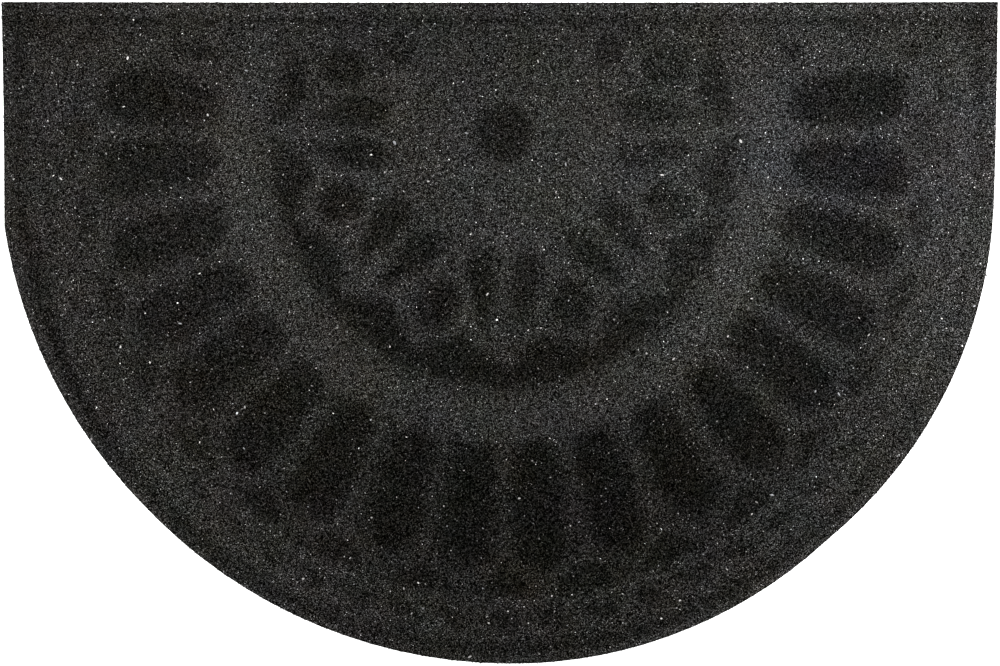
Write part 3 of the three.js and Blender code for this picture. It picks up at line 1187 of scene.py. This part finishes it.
class DOORMAT_OT_flecks(Operator):
    """Scatter light flecks among the crumb"""

    bl_idname = "doormat.flecks"
    bl_label = "Flecks"

    def execute(self, context):
        sizes = context.scene.doormat_sizes
        finish = context.scene.doormat_finish
        rng = np.random.default_rng(sizes.seed + 2)
        shapes, faces = fleck_shapes(FLECK_SHAPES, rng)
        x, y, inset = scattered(FLECK_PITCH, rng)
        chosen = rng.permutation(len(x))[:sizes.flecks]
        x = x[chosen]
        y = y[chosen]
        depth, tone = pattern(x, y, inset[chosen])
        centres = np.column_stack([x, y, THICKNESS - depth + FLECK_RISE])
        normals = unit(np.column_stack([rng.normal(*FLECK_TILT, (len(x), 2)), np.ones(len(x))]))
        radii = FLECK_RADIUS * np.exp(rng.normal(*FLECK_RADIUS_SPREAD, len(x)))
        radii = np.clip(radii, *FLECK_RADIUS_LIMITS)
        corners = place_chips(shapes, centres, normals, radii, rng)
        mesh = joined_mesh("flecks", corners, faces)
        cream = np.array(finish.cream)
        blue_grey = np.array(finish.blue_grey)
        colours = np.where(rng.random((len(x), 1)) < CREAM_SHARE, cream, blue_grey)
        brightness = rng.normal(*FLECK_BRIGHTNESS_SPREAD, (len(x), 1))
        # The flecks take a share of the pattern's tone, with its painted light and painted shade
        colours = colours * np.exp(brightness + FLECK_TONE_SHARE * tone[:, None])
        colours = np.clip(colours, *FLECK_BRIGHTNESS_LIMITS)
        set_colours(mesh, "fleck_colour", np.repeat(colours, corners.shape[1], axis=0))
        unwrap_from_above(mesh)
        object_from(mesh, "flecks", fleck_rubber())
        return {"FINISHED"}


class DOORMAT_OT_sheet(Operator):
    bl_idname = "doormat.sheet"
    bl_label = "Lay the mat"

    def execute(self, context):
        return {"FINISHED"}


def soft_light(name, place, size, power):
    """A large area light that looks at the mat's middle and isn't seen itself."""
    light = bpy.data.lights.new(name, "AREA")
    light.shape = "RECTANGLE"
    light.size = size[0]
    light.size_y = size[1]
    light.energy = power
    lamp = bpy.data.objects.new(name, light)
    lamp.location = place
    lamp.rotation_euler = (-Vector(place)).to_track_quat("-Z", "Y").to_euler()
    lamp.visible_camera = False
    bpy.context.scene.collection.objects.link(lamp)


def studio_floor(colour):
    """A plain floor, large enough to fill any view of the mat."""
    bm = bmesh.new()
    bmesh.ops.create_grid(bm, x_segments=1, y_segments=1, size=FLOOR_HALF_SIZE)
    bmesh.ops.translate(bm, vec=(0, 0, -FLOOR_DROP), verts=bm.verts)
    mesh = bpy.data.meshes.new("studio_floor")
    bm.to_mesh(mesh)
    bm.free()
    material, _, shader = new_material("studio_floor")
    shader.inputs["Base Color"].default_value = (*colour, 1)
    shader.inputs["Roughness"].default_value = FLOOR_ROUGHNESS
    shader.inputs["Specular IOR Level"].default_value = FLOOR_SPECULAR
    shader.inputs["Emission Color"].default_value = (1, 1, 1, 1)
    shader.inputs["Emission Strength"].default_value = FLOOR_GLOW
    mesh.materials.append(material)
    floor = bpy.data.objects.new("studio_floor", mesh)
    bpy.context.scene.collection.objects.link(floor)


class DOORMAT_OT_stage(Operator):
    """Build the floor, the lights and the camera that looks straight down"""

    bl_idname = "doormat.stage"
    bl_label = "Stage"

    def execute(self, context):
        studio = context.scene.doormat_studio
        scene = context.scene
        studio_floor(studio.floor)

        world = bpy.data.worlds.new("studio_world")
        world.use_nodes = True
        background = world.node_tree.nodes["Background"]
        background.inputs["Color"].default_value = (1, 1, 1, 1)
        background.inputs["Strength"].default_value = WORLD_STRENGTH
        scene.world = world
        for light in SOFT_LIGHTS:
            soft_light(*light)
        scene.view_settings.view_transform = "Standard"

        camera = bpy.data.cameras.new("camera")
        camera.sensor_width = SENSOR_WIDTH
        camera.lens = SENSOR_WIDTH * (studio.camera_height - THICKNESS * MM) / studio.view_width
        camera.clip_end = FARTHEST_SEEN
        eye = bpy.data.objects.new("camera", camera)
        eye.location = (*CAMERA_PLACE, studio.camera_height)
        scene.collection.objects.link(eye)
        scene.camera = eye
        return {"FINISHED"}


class DOORMAT_PT_panel(Panel):
    """The doormat's build steps"""

    bl_label = "Doormat"
    bl_idname = "DOORMAT_PT_panel"
    bl_space_type = "VIEW_3D"
    bl_region_type = "UI"
    bl_category = "Doormat"

    def draw(self, context):
        layout = self.layout
        for settings in (
            context.scene.doormat_sizes,
            context.scene.doormat_finish,
            context.scene.doormat_studio,
        ):
            column = layout.column()
            for name in settings.__annotations__:
                column.prop(settings, name)
        for step in STEPS:
            layout.operator(step.bl_idname)


STEPS = (
    DOORMAT_OT_bed,
    DOORMAT_OT_crumb,
    DOORMAT_OT_flecks,
    DOORMAT_OT_sheet,
    DOORMAT_OT_stage,
)
CLASSES = (CrumbSizes, CrumbFinish, StudioSettings, *STEPS, DOORMAT_PT_panel)


def register():
    for cls in CLASSES:
        bpy.utils.register_class(cls)
    bpy.types.Scene.doormat_sizes = PointerProperty(type=CrumbSizes)
    bpy.types.Scene.doormat_finish = PointerProperty(type=CrumbFinish)
    bpy.types.Scene.doormat_studio = PointerProperty(type=StudioSettings)


def unregister():
    del bpy.types.Scene.doormat_studio
    del bpy.types.Scene.doormat_finish
    del bpy.types.Scene.doormat_sizes
    for cls in reversed(CLASSES):
        bpy.utils.unregister_class(cls)


def main():
    register()
    bpy.ops.doormat.bed()
    bpy.ops.doormat.crumb()
    bpy.ops.doormat.flecks()
    bpy.ops.doormat.sheet()
    bpy.ops.doormat.stage()
    bpy.context.view_layer.update()


if __name__ == "__main__":
    main()
